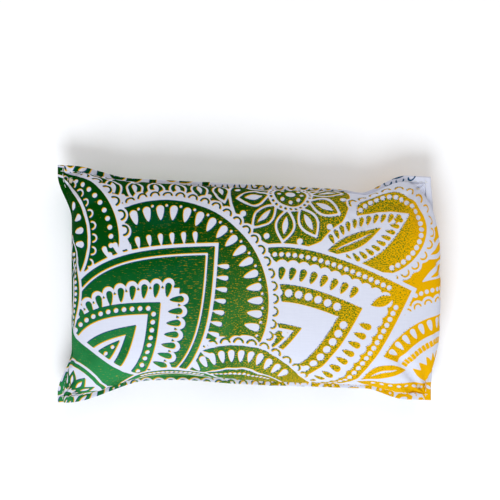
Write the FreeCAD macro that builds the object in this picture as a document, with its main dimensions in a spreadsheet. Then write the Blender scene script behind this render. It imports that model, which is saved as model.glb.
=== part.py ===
"""An eye pillow: a flanged cotton cover with an envelope back, round a seed-filled inner bag.

Frame: X along the pillow's length, Y across it, Z up. The origin is the middle of the
underside, so the pillow lies on the plane z = 0. Millimetres throughout.

Every layer is a loft through stacked outlines. An outline is four arcs between four corners:
the sides of the seam are hollow between long ears, and they fill out towards the middle of
the pillow. A layer nearer the inside has the same outlines, drawn in by its depth.
"""
import FreeCAD, Part
import os

import Sketcher

SIZES = [
    # The flange's outer edge: the four ears, then the middle of each side.
    ("upper_left_x", 112.5), ("upper_left_y", 68.6),
    ("lower_left_x", 111.6), ("lower_left_y", 68.6),
    ("upper_right_x", 107.0), ("upper_right_y", 63.1),
    ("lower_right_x", 107.0), ("lower_right_y", 67.2),
    ("upper_side_y", 58.8), ("lower_side_y", 58.7),
    ("left_side_x", 104.5), ("right_side_x", 112.5),
    # The form of the filled pillow.
    ("seam_height", 18.0),        # the flange's mid-plane above the underside
    ("front_rise", 26.0),         # the crown above the flange
    ("front_cap", 0.97),          # how far up the rounding the crown is flat
    ("back_cap", 0.80),           # the same below: a seed pillow lies on a wide flat
    ("fullness", 2.4),            # 2 is a round section, more is squarer
    ("right_bulge", 2.5),         # the fill swells towards the right end
    # Cloth and sewing.
    ("cloth", 0.45),
    ("clearance", 0.30),
    ("flange_width", 3.0),
    ("flange_ply", 0.75),         # one folded layer of the flange
    ("lap_reach", 25.0),          # each back panel passes the middle by this much
    ("hem_width", 8.0),
    ("hem_stitch_reach", 34.0),   # the hem's stitches on the flat of the underside
    ("stitch_inset", 2.2),
    ("stitch_pitch", 3.2),
    ("stitch_length", 2.4),
    ("thread", 0.3),
    # The inner bag.
    ("bag_flange", 2.5),
    ("bag_corner_tuck", 6.0),     # its corners stop short of the cover's ears
    ("bag_ply", 0.45),
    ("bag_gap_half_length", 30.0),
    ("bag_second_row", 1.1),      # the closing row lies this far inside the seam row
]

# The fractions of a dome's rise that have an outline, closer where the form turns faster.
LEVELS = (0.0, 0.1, 0.25, 0.42, 0.6, 0.77, 0.9, 0.97, 1.0)

doc = FreeCAD.newDocument("EyePillow")
sheet = doc.addObject("Spreadsheet::Sheet", "Sizes")
for row, (alias, number) in enumerate(SIZES, start=1):
    sheet.set(f"A{row}", alias)
    sheet.set(f"B{row}", str(number))
    sheet.setAlias(f"B{row}", alias)
doc.recompute()


def value(expression):
    """The number that an expression on the sheet stands for."""
    return float(sheet.evalExpression(str(expression)))


def origin_plane(body, role):
    """One of a body's own origin planes."""
    return next(feature for feature in body.Origin.OriginFeatures if feature.Role == role)


def new_body(name):
    """An empty body whose label names its part."""
    body = doc.addObject("PartDesign::Body", name)
    body.Label = name
    return body


def flat_sketch(body, name, height):
    """A sketch on the body's XY plane, lifted to a height bound to the sheet."""
    sketch = body.newObject("Sketcher::SketchObject", name)
    sketch.AttachmentSupport = [(origin_plane(body, "XY_Plane"), "")]
    sketch.MapMode = "FlatFace"
    sketch.setExpression("AttachmentOffset.Base.z", height)
    return sketch


def pin(sketch, direction, geometry, point, expression):
    """Hold a point's X or Y at an expression's value."""
    distance = Sketcher.Constraint("Distance" + direction, -1, 1, geometry, point, value(expression))
    index = sketch.addConstraint(distance)
    sketch.setExpression(f"Constraints[{index}]", expression)


def outline_places(inset, tuck, level):
    """The four corners and the middles of the four sides, as X and Y expressions.

    inset draws every side in, tuck draws only the corners in further, and level is the
    fraction of the rounding that has been climbed, from 0 at the seam to 1 at a point.
    """
    corner = f"(1 - {level})^(1 / Sizes.fullness)"
    side = f"(1 - ({level})^2)^(1 / Sizes.fullness)"
    swell = f"Sizes.right_bulge * 4 * ({level}) * (1 - ({level}))"

    def reach(alias, share, extra="0"):
        return f"(Sizes.{alias} - ({inset}) - ({extra})) * {share}"

    corners = [
        (reach("upper_right_x", corner, tuck), reach("upper_right_y", corner, tuck)),
        ("-" + reach("upper_left_x", corner, tuck), reach("upper_left_y", corner, tuck)),
        ("-" + reach("lower_left_x", corner, tuck), "-" + reach("lower_left_y", corner, tuck)),
        (reach("lower_right_x", corner, tuck), "-" + reach("lower_right_y", corner, tuck)),
    ]
    middles = [
        ("0", reach("upper_side_y", side)),
        ("-" + reach("left_side_x", side), "0"),
        ("0", "-" + reach("lower_side_y", side)),
        (reach("right_side_x", side) + " + " + swell, "0"),
    ]
    return corners, middles


def point_at(place):
    """An X and Y expression pair as a vector."""
    return FreeCAD.Vector(value(place[0]), value(place[1]), 0)


def outline_sketch(body, name, height, inset="0", tuck="0", level="0"):
    """A closed outline of four arcs, each through the middle of its side."""
    sketch = flat_sketch(body, name, height)
    corners, middles = outline_places(inset, tuck, level)
    arcs = []
    for side in range(4):
        start, end = corners[side], corners[(side + 1) % 4]
        arc = Part.Arc(point_at(start), point_at(middles[side]), point_at(end))
        arcs.append(sketch.addGeometry(arc))

    def end_near(arc, place):
        at_start = sketch.getPoint(arc, 1).distanceToPoint(point_at(place)) < 0.01
        return 1 if at_start else 2

    for side in range(4):
        corner, before = corners[side], arcs[side - 1]
        near = end_near(arcs[side], corner)
        joined = Sketcher.Constraint("Coincident", arcs[side], near, before, end_near(before, corner))
        sketch.addConstraint(joined)
        pin(sketch, "X", arcs[side], near, corner[0])
        pin(sketch, "Y", arcs[side], near, corner[1])
        guide = sketch.addGeometry(Part.Point(point_at(middles[side])), True)
        sketch.addConstraint(Sketcher.Constraint("PointOnObject", guide, 1, arcs[side]))
        pin(sketch, "X", guide, 1, middles[side][0])
        pin(sketch, "Y", guide, 1, middles[side][1])
    return sketch


def plate(body, name, bottom, thickness, inset="0", tuck="0"):
    """A flat plate of cloth with the outline's shape."""
    pad = body.newObject("PartDesign::Pad", name)
    pad.Profile = outline_sketch(body, name + "_outline", bottom, inset, tuck)
    pad.setExpression("Length", thickness)
    return pad


def dome(body, kind, name, foot, rise, cap, inset, tuck="0"):
    """A loft from the seam's outline to a flat crown, added to the body or cut from it."""
    sketches = []
    for number, fraction in enumerate(LEVELS):
        height = f"{foot} + ({rise}) * {fraction}"
        level = f"{cap} * {fraction}"
        sketches.append(outline_sketch(body, f"{name}_{number}", height, inset, tuck, level))
    loft = body.newObject("PartDesign::" + kind, name)
    loft.Profile = sketches[0]
    loft.Sections = sketches[1:]
    return loft


def trim(body, name, near_x, far_x, half_y="100"):
    """Cut away everything between two X positions."""
    sketch = flat_sketch(body, name + "_area", "0")
    low_x, high_x, high_y = value(near_x), value(far_x), value(half_y)
    corners = [
        FreeCAD.Vector(low_x, -high_y, 0), FreeCAD.Vector(high_x, -high_y, 0),
        FreeCAD.Vector(high_x, high_y, 0), FreeCAD.Vector(low_x, high_y, 0),
    ]
    lines = [
        sketch.addGeometry(Part.LineSegment(corners[side], corners[(side + 1) % 4]))
        for side in range(4)
    ]
    for side in range(4):
        sketch.addConstraint(Sketcher.Constraint("Coincident", lines[side], 1, lines[side - 1], 2))
    for side in (0, 2):
        sketch.addConstraint(Sketcher.Constraint("Horizontal", lines[side]))
        sketch.addConstraint(Sketcher.Constraint("Vertical", lines[side + 1]))
    pin(sketch, "X", lines[0], 1, near_x)
    pin(sketch, "Y", lines[0], 1, "-" + half_y)
    pin(sketch, "X", lines[2], 1, far_x)
    pin(sketch, "Y", lines[2], 1, half_y)
    pocket = body.newObject("PartDesign::Pocket", name)
    pocket.Profile = sketch
    return pocket


def trim_through(body, name, near_x, far_x):
    """Cut the body away between two X positions, through its whole height."""
    pocket = trim(body, name, near_x, far_x)
    pocket.Type = "ThroughAll"
    pocket.Midplane = True
    return pocket


# Which way is inward from the upper, left, lower and right sides.
INWARD = [FreeCAD.Vector(*step) for step in ((0, -1, 0), (1, 0, 0), (0, 1, 0), (-1, 0, 0))]

# Depths below the cover's outer surface, as expressions.
OVER_LAP = "Sizes.flange_width"
UNDER_LAP = "Sizes.flange_width + Sizes.cloth + Sizes.clearance"
LAYER_STEP = "(Sizes.cloth + Sizes.clearance)"
BAG = f"Sizes.flange_width + 2 * {LAYER_STEP} + Sizes.bag_flange"
BAG_EDGE = f"Sizes.flange_width + 2 * {LAYER_STEP}"
FILL = f"{BAG} + {LAYER_STEP}"
FRONT_RISE = "Sizes.front_rise"
BACK_DROP = "-(Sizes.seam_height)"
SEAM = "Sizes.seam_height"
FAR = "200"
LEFT_HEM_LINE = "Sizes.lap_reach - Sizes.hem_width"
RIGHT_HEM_LINE = "Sizes.hem_width - Sizes.lap_reach"


def hem_groove(body, name, line_x, floor_height):
    """The furrow that a hem's stitches pull into the cloth, so that they lie flush."""
    half = "Sizes.thread"
    pocket = trim(body, name, f"{line_x} - {half}", f"{line_x} + {half}",
                  "(Sizes.hem_stitch_reach + Sizes.stitch_pitch)")
    pocket.Profile[0].setExpression("AttachmentOffset.Base.z", f"{floor_height} + Sizes.thread")
    pocket.setExpression("Length", "Sizes.thread")
    return pocket


def cover_front_panel():
    """The printed front: its flange and a hollow dome of one cloth's thickness."""
    body = new_body("cover_front_panel")
    plate(body, "front_flange", SEAM, "Sizes.flange_ply")
    dome(body, "AdditiveLoft", "front_dome", SEAM, FRONT_RISE, "Sizes.front_cap", OVER_LAP)
    dome(body, "SubtractiveLoft", "front_hollow", SEAM, f"{FRONT_RISE} - Sizes.cloth",
         "Sizes.front_cap", f"{OVER_LAP} + Sizes.cloth")
    return body


def cover_back_panel_left():
    """The under-lap: its flange has two plies, but one where the over-lap passes below."""
    body = new_body("cover_back_panel_left")
    plate(body, "left_lower_ply", f"{SEAM} - 2 * Sizes.flange_ply", "Sizes.flange_ply")
    trim_through(body, "left_lower_ply_end", "-Sizes.lap_reach - Sizes.clearance", FAR)
    plate(body, "left_upper_ply", f"{SEAM} - Sizes.flange_ply", "Sizes.flange_ply")
    dome(body, "AdditiveLoft", "left_dome", SEAM, f"{BACK_DROP} + {LAYER_STEP}",
         "Sizes.back_cap", UNDER_LAP)
    trim_through(body, "left_lap_edge", "Sizes.lap_reach", FAR)
    dome(body, "SubtractiveLoft", "left_hollow", SEAM, f"{BACK_DROP} + {LAYER_STEP} + Sizes.cloth",
         "Sizes.back_cap", f"{UNDER_LAP} + Sizes.cloth")
    hem_groove(body, "left_hem_groove", LEFT_HEM_LINE, LAYER_STEP)
    return body


def cover_back_panel_right():
    """The over-lap, outermost on the underside, with a groove where its hem is stitched."""
    body = new_body("cover_back_panel_right")
    plate(body, "right_upper_ply", f"{SEAM} - Sizes.flange_ply", "Sizes.flange_ply")
    trim_through(body, "right_upper_ply_end", "-" + FAR, "Sizes.lap_reach + Sizes.clearance")
    plate(body, "right_lower_ply", f"{SEAM} - 2 * Sizes.flange_ply", "Sizes.flange_ply")
    foot = f"{SEAM} - Sizes.flange_ply"
    dome(body, "AdditiveLoft", "right_dome", foot, f"{BACK_DROP} + Sizes.flange_ply",
         "Sizes.back_cap", OVER_LAP)
    trim_through(body, "right_lap_edge", "-" + FAR, "-Sizes.lap_reach")
    dome(body, "SubtractiveLoft", "right_hollow", SEAM, f"{BACK_DROP} + Sizes.cloth",
         "Sizes.back_cap", f"{OVER_LAP} + Sizes.cloth")
    hem_groove(body, "right_hem_groove", RIGHT_HEM_LINE, "0")
    return body


def inner_bag_front():
    """The inner bag's upper cloth, with its own narrow sewn edge."""
    body = new_body("inner_bag_front")
    plate(body, "bag_front_edge", SEAM, "Sizes.bag_ply", BAG_EDGE, "Sizes.bag_corner_tuck")
    dome(body, "AdditiveLoft", "bag_front_dome", SEAM, f"{FRONT_RISE} - 2 * {LAYER_STEP}",
         "Sizes.front_cap", BAG, "Sizes.bag_corner_tuck")
    dome(body, "SubtractiveLoft", "bag_front_hollow", SEAM,
         f"{FRONT_RISE} - 2 * {LAYER_STEP} - Sizes.cloth", "Sizes.front_cap",
         f"{BAG} + Sizes.cloth", "Sizes.bag_corner_tuck")
    return body


def inner_bag_back():
    """The inner bag's lower cloth."""
    body = new_body("inner_bag_back")
    plate(body, "bag_back_edge", f"{SEAM} - Sizes.bag_ply", "Sizes.bag_ply", BAG_EDGE,
          "Sizes.bag_corner_tuck")
    dome(body, "AdditiveLoft", "bag_back_dome", SEAM, f"{BACK_DROP} + 2 * {LAYER_STEP}",
         "Sizes.back_cap", BAG, "Sizes.bag_corner_tuck")
    dome(body, "SubtractiveLoft", "bag_back_hollow", SEAM,
         f"{BACK_DROP} + 2 * {LAYER_STEP} + Sizes.cloth", "Sizes.back_cap",
         f"{BAG} + Sizes.cloth", "Sizes.bag_corner_tuck")
    return body


def seed_fill():
    """The loose fill as one settled mass."""
    body = new_body("seed_fill")
    dome(body, "AdditiveLoft", "fill_upper", SEAM, f"{FRONT_RISE} - 3 * {LAYER_STEP}",
         "Sizes.front_cap", FILL, "Sizes.bag_corner_tuck")
    dome(body, "AdditiveLoft", "fill_lower", SEAM, f"{BACK_DROP} + 3 * {LAYER_STEP}",
         "Sizes.back_cap", FILL, "Sizes.bag_corner_tuck")
    return body


def side_arcs(inset, tuck="0", sides=(0, 1, 2, 3)):
    """The stitch line of each side: its edge's arc, moved in by the inset, so rows cross at ears."""
    corners, middles = outline_places("0", tuck, "0")
    arcs = []
    for side in sides:
        step = INWARD[side] * value(inset)
        places = (corners[side], middles[side], corners[(side + 1) % 4])
        arcs.append(Part.Arc(*(point_at(place) + step for place in places)))
    return arcs


def stitch_bar(at, heading, bottom):
    """One stitch: a short straight length of thread lying on the cloth."""
    length, width = value("Sizes.stitch_length"), value("Sizes.thread")
    bar = Part.makeBox(length, width, width, FreeCAD.Vector(-length / 2, -width / 2, 0))
    turn = FreeCAD.Rotation(FreeCAD.Vector(1, 0, 0), heading)
    bar.Placement = FreeCAD.Placement(FreeCAD.Vector(at.x, at.y, bottom), turn)
    return bar


def bars_along(curve, bottom, keep=None):
    """Stitches at an even pitch along a curve, clear of its ends."""
    edge = curve.toShape()
    pitch = value("Sizes.stitch_pitch")
    count = int(edge.Length / pitch) - 1
    spare = edge.Length - count * pitch
    bars = []
    for number in range(count):
        parameter = edge.getParameterByLength(spare / 2 + (number + 0.5) * pitch)
        at = edge.valueAt(parameter)
        if keep is None or keep(at):
            bars.append(stitch_bar(at, edge.tangentAt(parameter), bottom))
    return bars


def clear_of(bars):
    """Leave out any stitch that would lie on an earlier one, as where two rows cross."""
    kept = []
    for bar in bars:
        middle = bar.BoundBox.Center
        reach = value("Sizes.stitch_length")
        if all(middle.distanceToPoint(other.BoundBox.Center) > reach for other in kept):
            kept.append(bar)
    return kept


def thread_group(name, bars):
    """A row of stitches as one part, a group of separate solids."""
    feature = doc.addObject("Part::Feature", name)
    feature.Label = name
    feature.Shape = Part.makeCompound(bars)
    feature.Placement = FreeCAD.Placement()
    return feature


def edge_topstitch(name, bottom):
    """Four rows round the flange, which cross at the ears."""
    bars = []
    for curve in side_arcs("Sizes.stitch_inset"):
        bars += bars_along(curve, value(bottom))
    return thread_group(name, clear_of(bars))


def hem_stitches(name, line_x, bottom):
    """The straight row that holds a lap's hem, on the flat of the underside."""
    reach, across = value("Sizes.hem_stitch_reach"), value(line_x)
    curve = Part.LineSegment(FreeCAD.Vector(across, -reach, 0), FreeCAD.Vector(across, reach, 0))
    return thread_group(name, bars_along(curve, value(bottom)))


def inner_bag_seam_stitches():
    """The row round the inner bag's edge."""
    inset = f"{BAG_EDGE} + Sizes.bag_flange * 0.3"
    height = value(f"{SEAM} + Sizes.bag_ply")
    bars = []
    for curve in side_arcs(inset, "Sizes.bag_corner_tuck"):
        bars += bars_along(curve, height)
    return thread_group("inner_bag_seam_stitches", clear_of(bars))


def inner_bag_closing_stitches():
    """A second short row over the gap that the bag was filled through, at the right end."""
    inset = f"{BAG_EDGE} + Sizes.bag_flange * 0.3 + Sizes.bag_second_row"
    reach = value("Sizes.bag_gap_half_length")
    curve = side_arcs(inset, "Sizes.bag_corner_tuck", sides=(3,))[0]
    bars = bars_along(curve, value(f"{SEAM} + Sizes.bag_ply"), lambda at: abs(at.y) < reach)
    return thread_group("inner_bag_closing_stitches", bars)


def check(parts):
    """Stop if any object failed, or if a part's shape is empty or broken."""
    for item in doc.Objects:
        broken = [state for state in item.State if state in ("Invalid", "Error")]
        if broken:
            raise RuntimeError(f"{item.Name}: {broken}")
    for part in parts:
        if part.Shape.isNull() or not part.Shape.isValid() or not part.Shape.Solids:
            raise RuntimeError(f"{part.Label} has no sound solid")


def main():
    """Build every part, check it and write it out."""
    parts = [cover_front_panel(), cover_back_panel_left(), cover_back_panel_right()]
    parts += [inner_bag_front(), inner_bag_back(), seed_fill()]
    flange_top = f"{SEAM} + Sizes.flange_ply"
    flange_bottom = f"{SEAM} - 2 * Sizes.flange_ply - Sizes.thread"
    parts += [
        edge_topstitch("edge_topstitch_front", flange_top),
        edge_topstitch("edge_topstitch_back", flange_bottom),
        hem_stitches("back_hem_stitches_left", LEFT_HEM_LINE, LAYER_STEP),
        hem_stitches("back_hem_stitches_right", RIGHT_HEM_LINE, "0"),
        inner_bag_seam_stitches(),
        inner_bag_closing_stitches(),
    ]
    doc.recompute()
    check(parts)
    os.makedirs("parts", exist_ok=True)
    for part in parts:
        part.Shape.exportStep(os.path.join("parts", part.Label + ".step"))
        box = part.Shape.BoundBox
        print(part.Label, len(part.Shape.Solids), round(part.Shape.Volume), "mm3", box)


main()
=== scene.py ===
import bpy
import numpy as np
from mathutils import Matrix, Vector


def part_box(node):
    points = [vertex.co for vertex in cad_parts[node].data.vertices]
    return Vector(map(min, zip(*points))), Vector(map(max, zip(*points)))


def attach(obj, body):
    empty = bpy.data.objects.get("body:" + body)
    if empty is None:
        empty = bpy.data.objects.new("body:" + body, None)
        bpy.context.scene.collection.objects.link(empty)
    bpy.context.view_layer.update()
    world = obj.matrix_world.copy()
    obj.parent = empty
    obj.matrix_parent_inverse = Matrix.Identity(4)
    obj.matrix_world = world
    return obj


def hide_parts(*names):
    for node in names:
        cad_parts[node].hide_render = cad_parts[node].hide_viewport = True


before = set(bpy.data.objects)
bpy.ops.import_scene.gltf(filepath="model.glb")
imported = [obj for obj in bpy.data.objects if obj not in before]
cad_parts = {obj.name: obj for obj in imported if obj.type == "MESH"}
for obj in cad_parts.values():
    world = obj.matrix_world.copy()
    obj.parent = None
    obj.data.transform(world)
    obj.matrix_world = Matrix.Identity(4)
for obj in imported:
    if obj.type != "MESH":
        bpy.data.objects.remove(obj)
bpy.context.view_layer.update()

bl_info = {
    "name": "Eye pillow",
    "version": (1, 0, 0),
    "blender": (4, 5, 0),
    "location": "3D view > Sidebar > Eye pillow",
    "description": "Makes a printed, seed-filled eye pillow as separate sewn pieces",
    "category": "Add Mesh",
}

# All shapes below are worked out in millimetres and turned into metres when they become a mesh.
MM = 0.001
LOW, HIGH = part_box("cover_front_panel")
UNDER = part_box("cover_back_panel_right")[0]
SEAM_Z = LOW.z / MM
CROWN = (HIGH.z - LOW.z) / MM
DEPTH = (LOW.z - UNDER.z) / MM

# Values made once and shared: the simulation's moves, the print and the materials.
kept = {}


# ------------------------------------------------------------------ the seam's plan

SEAM_MIDDLE_X, SEAM_HALF_X = -2.8, 106.8
LEFT_END_X, LEFT_EAR = -101.4, 8.2
RIGHT_END_X, RIGHT_BOW, BOW_HALF_Y = 104.0, 3.0, 60.0


def ease(x, low, high):
    """0 below low, 1 above high and t * t * (3 - 2t) between them."""
    t = np.clip((x - low) / (high - low), 0, 1)
    return t * t * (3 - 2 * t)


def side_seam(u, y, slope, left_ear, right_ear, dent):
    """A straight line of a given slope, plus a smooth step into each ear (its height, start and end) and a
    shallow dent (its height, middle and width) with the shape exp(-t ** 2)."""
    x = SEAM_MIDDLE_X + SEAM_HALF_X * u
    height, middle, width = dent
    y = (y + slope * x + left_ear[0] * ease(-x, *left_ear[1:]) + right_ear[0] * ease(x, *right_ear[1:])
         + height * np.exp(-((x - middle) / width) ** 2))
    return np.stack([x, y], axis=-1)


def upper_seam(u):
    """The long side at the top, dented before its right ear."""
    return side_seam(u, 55.6, -0.051, (5.2, 70, 104), (9.6, 66, 94), (-1.4, 66, 8))


def lower_seam(u):
    """The long side at the bottom, with a low rise left of its middle."""
    return side_seam(u, -55.9, -0.033, (-13.6, 58, 109), (-5.2, 68, 92), (1.5, -38, 22))


def end_y(end, v):
    """Even steps from the lower to the upper corner of the left end, -1, or the right one, 1."""
    low, high = lower_seam(end)[1], upper_seam(end)[1]
    return low + (high - low) * (v + 1) / 2


def left_seam(v):
    """Straight, with a smooth step out into each ear."""
    y = end_y(-1.0, v)
    return np.stack([LEFT_END_X - LEFT_EAR * ease(np.abs(y), 38, 65), y], axis=-1)


def right_seam(v):
    """A shallow bow: its depth times 1 - (y / its half height) ** 2."""
    y = end_y(1.0, v)
    return np.stack([RIGHT_END_X + RIGHT_BOW * np.clip(1 - (y / BOW_HALF_Y) ** 2, 0, 1), y], axis=-1)


def seam_plan(u, v):
    """A Coons patch on the four seams: the blend of lower and upper, plus the blend of left and right, less
    the blend of the four corners. u and v run from -1 to 1 at the seam and go on past it into the flange."""
    u, v = np.broadcast_arrays(u, v)
    a, b = ((u + 1) / 2)[..., None], ((v + 1) / 2)[..., None]
    corner = {(i, j): seam(-1.0 + 2 * i) for i in (0, 1) for j, seam in enumerate((lower_seam, upper_seam))}
    across = (1 - b) * lower_seam(u) + b * upper_seam(u)
    along = (1 - a) * left_seam(v) + a * right_seam(v)
    flat = ((1 - a) * (1 - b) * corner[0, 0] + a * (1 - b) * corner[1, 0]
            + (1 - a) * b * corner[0, 1] + a * b * corner[1, 1])
    return across + along - flat


# ------------------------------------------------------------------ the filled form

# Half sizes of the filled part, and how square its two sections are.
LONG, WIDE = 105.0, 57.0
LONG_POWER, WIDE_POWER = 7.0, 3.6
# How much lower the top is at the ends and sides, and how much of the rise the ears lack, as shares.
DOME_LONG, DOME_WIDE, EAR_LACK = 0.15, 0.08, 0.34
# How far the faces lean out over the seam at the right and left ends and the upper and lower sides.
FRONT_LEAN = (7.5, -5.0, 3.8, -3.2)
BACK_LEAN = (2.5, -1.5)
# Heights of the slow unevenness, the gathers and the ears' creases on the front, and of the gathers on the
# back.
CRUMPLE, PUCKER, EAR_CREASE, BACK_PUCKER = 0.35, 0.42, 0.8, 0.3
# The share of the rise under which the cloth hangs steeply.
STEEP = 0.55
# Heights of the cloths' middles over and under the seam's level, and what that takes off the crown and the
# depth.
FRONT_UP, BACK_DOWN, CROWN_LESS, DEPTH_LESS = 0.35, 1.1, 0.6, 1.3
# How square the underside's edge is, and the share of its drop at which it is cut off flat.
BACK_POWER, BACK_FLAT = 2.2, 0.94


def side_profile(half, rise, power, shares):
    """Section |p| ** power + q ** 2 = 1 with p the share of the half size and q of the rise. Each share of
    the arc's length, -1 to 1 from seam to seam, gives its p and q."""
    p = np.sin(np.linspace(0, np.pi / 2, 4001))
    q = np.sqrt(np.clip(1 - p ** power, 0, 1))
    run = np.concatenate([[0], np.cumsum(np.hypot(half * np.diff(p), rise * np.diff(q)))])
    at = np.abs(shares) * run[-1]
    return np.sign(shares) * np.interp(at, run, p), np.interp(at, run, q)


def grid_shares(cells, half, rise, power, rims):
    """p and q along one direction of a panel: even steps over the filled part, and the flange's rims
    outside."""
    p, q = side_profile(half, rise, power, np.linspace(-1, 1, cells + 1))
    out = 1 + np.asarray(rims) / half
    return np.concatenate([-out[::-1], p, out]), np.concatenate([0 * out, q, 0 * out])


def lean_out(q, amount):
    """How far a side leans out over its seam: amount * sin(pi * q ** 0.8), 0 at the seam and at the top."""
    return amount * np.sin(np.pi * np.clip(q, 0, 1) ** 0.8)


def crumple(x, y):
    """Slow random unevenness of hand-filled cloth, a sum of nine sine waves of 17 to 70 mm, from about -1 to
    1."""
    draw = np.random.default_rng(7)
    total = 0.0
    for _ in range(9):
        heading, length, start = (draw.uniform(0, 2 * np.pi), draw.uniform(17, 70), draw.uniform(0, 2 * np.pi))
        total = total + np.sin(2 * np.pi * (x * np.cos(heading) + y * np.sin(heading)) / length + start)
    return total / 5


def puckers(u, v):
    """Gathers that run in from the seams: waves along each seam that die out as the cloth leaves it."""
    x, y = LONG * u, WIDE * v
    near_ends = np.clip(1 - np.abs(np.abs(u) - 1) * LONG / 16, 0, 1) ** 2
    near_sides = np.clip(1 - np.abs(np.abs(v) - 1) * WIDE / 14, 0, 1) ** 2
    in_ear = ease(np.abs(u), 0.72, 0.98) * ease(np.abs(v), 0.55, 0.95)
    sides = np.sin(x / 3.1 + 1.3 * np.sin(x / 11)) * (0.25 + 0.75 * in_ear)
    ends = np.sin(y / 2.7 + 1.1 * np.sin(y / 9 + 1)) * (0.3 + 0.7 * in_ear)
    return near_sides * sides + near_ends * ends


def ear_folds(x, y):
    """Creases that fan out from each ear's tip: cos(9 * angle) of a place seen from the tip, strongest 7 mm
    from it and dying out inwards."""
    total = 0.0
    for i, start in zip((-1, 1), (0.6, 2.4)):
        for j in (-1, 1):
            tip = seam_plan(float(i), float(j))
            away = np.hypot(x - tip[0], y - tip[1])
            angle = np.arctan2(np.abs(y - tip[1]), np.abs(x - tip[0]))
            total = total + np.cos(9 * angle + start + j) * (away / 7) * np.exp(1 - away / 7) * (away < 40)
    return total


def front_form(u, v, qu, qv):
    """The front's points in mm, and the cloth's own flat coordinates at them. The height over the seam is the
    product of the two section shares, less what the ears lack, times a low dome. The cloth coordinate is the
    plan plus the drop of the steep part."""
    u, v, qu, qv = np.broadcast_arrays(u[None, :], v[:, None], qu[None, :], qv[:, None])
    plan = seam_plan(u, v)
    right, left, upper, lower = FRONT_LEAN
    dome = 1 - DOME_LONG * u ** 2 - DOME_WIDE * v ** 2
    ear = EAR_LACK * ease(np.abs(u), 0.84, 0.97) * ease(np.abs(v), 0.72, 0.95)
    share = np.clip(qu * qv - ear, 0, None) / (1 - ear)
    inside = (np.abs(u) < 1) & (np.abs(v) < 1)
    x = plan[..., 0] + lean_out(qu, 1) * qv * np.where(u > 0, right, left) * (1 - 0.6 * v ** 4)
    y = plan[..., 1] + lean_out(qv, 1) * qu * np.where(v > 0, upper, lower) * (1 - 0.8 * u ** 6)
    z = SEAM_Z + FRONT_UP + (CROWN - CROWN_LESS) * share * dome
    z = z + CRUMPLE * crumple(x, y) * np.clip(share * 3, 0, 1) + PUCKER * puckers(u, v) * inside
    z = z + EAR_CREASE * ear_folds(x, y) * inside * np.clip(qu * qv * 12, 0, 1)
    drop_u = CROWN * np.where(np.abs(u) > 1, STEEP, np.clip(STEEP - qu, 0, None)) * qv
    drop_v = CROWN * np.where(np.abs(v) > 1, STEEP, np.clip(STEEP - qv, 0, None)) * qu
    cloth = np.stack([x + np.sign(u) * drop_u, y + np.sign(v) * drop_v], axis=-1)
    return np.stack([x, y, z], axis=-1), cloth


def back_form(u, v, qu, qv):
    """The underside's points and cloth coordinates. Its drop is 1 - (1 - share) ** 2.2, cut off flat where
    the pillow rests."""
    u, v, qu, qv = np.broadcast_arrays(u[None, :], v[:, None], qu[None, :], qv[:, None])
    plan = seam_plan(u, v)
    x, y = plan[..., 0], plan[..., 1]
    full = np.clip((1 - (1 - qu * qv) ** BACK_POWER) / BACK_FLAT, 0, 1)
    full = full - 0.03 * full * (1 - ease(full, 0.8, 1.0)) * crumple(y, x)
    inside = (np.abs(u) < 1) & (np.abs(v) < 1)
    x = x + lean_out(qu, 1) * qv * np.where(u > 0, *BACK_LEAN)
    z = SEAM_Z - BACK_DOWN - (DEPTH - DEPTH_LESS) * full - BACK_PUCKER * puckers(u, v) * inside
    drop_u, drop_v = (DEPTH * 0.5 * np.clip(1 - q / STEEP, 0, 1) * other for q, other in ((qu, qv), (qv, qu)))
    cloth = np.stack([x + np.sign(u) * drop_u, y + np.sign(v) * drop_v], axis=-1)
    return np.stack([x, y, z], axis=-1), cloth


# ------------------------------------------------------------------ meshes

def surface(name, points, flip=False, loop=False):
    """A piece from one or more grids of points in mm, (..., rows, columns, 3), each square of a grid being a
    face. With loop, a grid's last row joins its first."""
    points = np.asarray(points, float)
    grids = points.reshape((-1,) + points.shape[-3:])
    count, rows, cols = grids.shape[:3]
    order = np.arange(rows * cols).reshape(rows, cols)
    if loop:
        order = np.vstack([order, order[:1]])
    quads = np.stack([order[:-1, :-1], order[:-1, 1:], order[1:, 1:], order[1:, :-1]], axis=-1).reshape(-1, 4)
    quads = quads[:, ::-1] if flip else quads
    quads = (quads[None] + (np.arange(count) * rows * cols)[:, None, None]).reshape(-1, 4)
    mesh = bpy.data.meshes.new(name)
    mesh.vertices.add(count * rows * cols)
    mesh.vertices.foreach_set("co", (grids.reshape(-1) * MM).astype(np.float32))
    mesh.loops.add(quads.size)
    mesh.loops.foreach_set("vertex_index", quads.reshape(-1).astype(np.int32))
    mesh.polygons.add(len(quads))
    mesh.polygons.foreach_set("loop_start", np.arange(0, quads.size, 4, dtype=np.int32))
    mesh.update(calc_edges=True)
    mesh.validate()
    mesh.shade_smooth()
    piece = bpy.data.objects.new(name, mesh)
    bpy.context.scene.collection.objects.link(piece)
    return piece


def keep_values(piece, name, values, kind="FLOAT"):
    """Stores one number, or one vector, for each vertex as a named attribute."""
    made = piece.data.attributes.new(name, kind, "POINT")
    field = "vector" if kind == "FLOAT_VECTOR" else "value"
    made.data.foreach_set(field, np.asarray(values, np.float32).reshape(-1))


def finish_piece(piece, slot, material, *nodes):
    """Gives a piece its material and body, and hides the CAD nodes it stands for. Its slot is not used."""
    piece.data.materials.append(material)
    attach(piece, "root")
    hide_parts(*nodes)
    return piece


# ------------------------------------------------------------------ cloth simulation

SIM_COLS, SIM_ROWS = 84, 52
SIM_STEPS = 20
# A share for places outside the seam, where nothing moves.
PAST_SEAM = 1.1


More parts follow.
